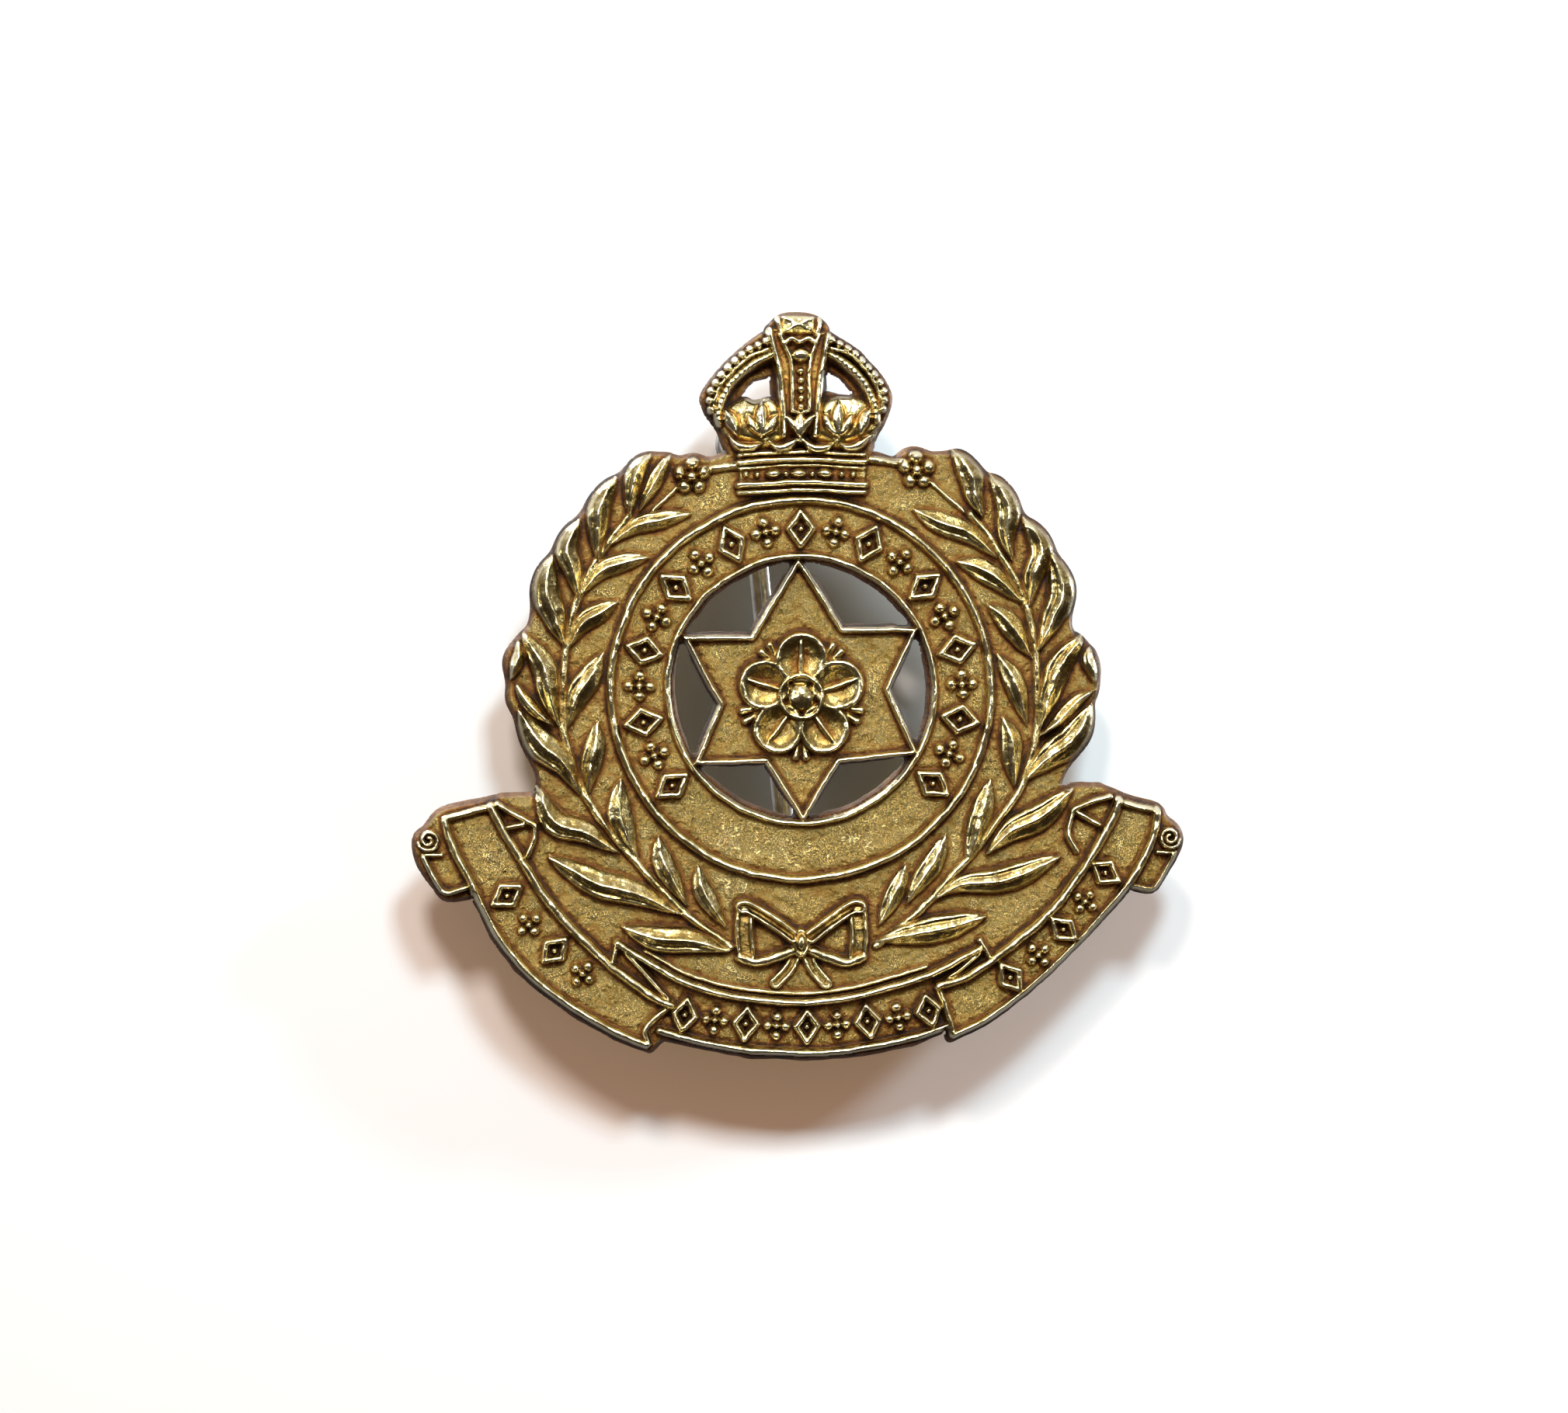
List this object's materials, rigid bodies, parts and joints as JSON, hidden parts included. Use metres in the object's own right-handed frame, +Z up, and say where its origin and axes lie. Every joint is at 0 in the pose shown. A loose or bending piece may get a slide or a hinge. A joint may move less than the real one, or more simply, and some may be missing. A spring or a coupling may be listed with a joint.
{
  "type": "cap badge",
  "caption": "Crowned brass cap badge: laurel wreath round a ring with a pierced six-pointed star, scroll below, wire lugs and a split pin on the back.",
  "frame": {"origin": "centre of the ring, on the flat back of the casting", "axes": "+X to the right seen from the front, +Z up to the crown, the face looks along -Y and the lugs stand along +Y"},
  "size_m": [0.0533, 0.0097, 0.0514],
  "materials": {
    "brass_casting": "worn cast brass, olive-gold on the high spots and warm brown in the recesses",
    "lug_wire": "drawn copper-rich wire, dull",
    "braze": "rough braze, pale",
    "pin_wire": "drawn half-round wire, bright with fine length-wise lines"
  },
  "bodies": {
    "badge": {"badge_casting": "brass_casting", "upper_lug": "lug_wire", "lower_lug": "lug_wire", "upper_lug_braze": "braze", "lower_lug_braze": "braze"},
    "pin": {"split_pin": "pin_wire"}
  },
  "joints": [
    {"name": "pin_slide", "type": "slide", "parent": "badge", "child": "pin", "axis": [-0.0941, 0, 0.9956], "range_m": [0, 0.032]}
  ]
}
